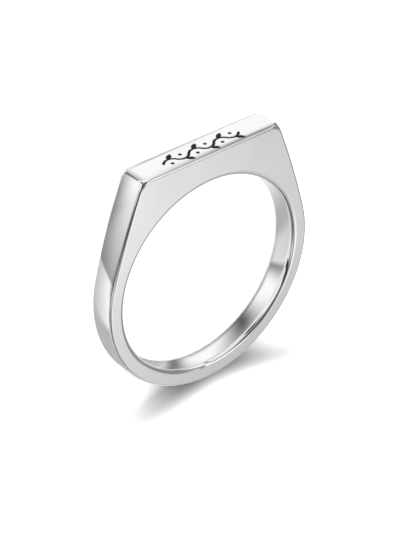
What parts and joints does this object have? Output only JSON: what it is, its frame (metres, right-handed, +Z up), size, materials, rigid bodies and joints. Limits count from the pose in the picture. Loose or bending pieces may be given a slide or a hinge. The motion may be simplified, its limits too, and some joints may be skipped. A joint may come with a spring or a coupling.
{
  "type": "finger ring",
  "caption": "Polished metal finger ring with a flat engraved bar on top, straight shoulders and a slim round shank, lying on its side.",
  "frame": {"origin": "centre of the finger hole, halfway through its width", "axes": "+Z up out of the finger hole (the ring lies on its side), +Y from the hole towards the flat bar, X along the bar"},
  "size_m": [0.0202, 0.0215, 0.0026],
  "materials": {
    "polished_silver": "mirror polished, engraving darkened"
  },
  "bodies": {
    "root": {"ring": "polished_silver"}
  },
  "joints": []
}
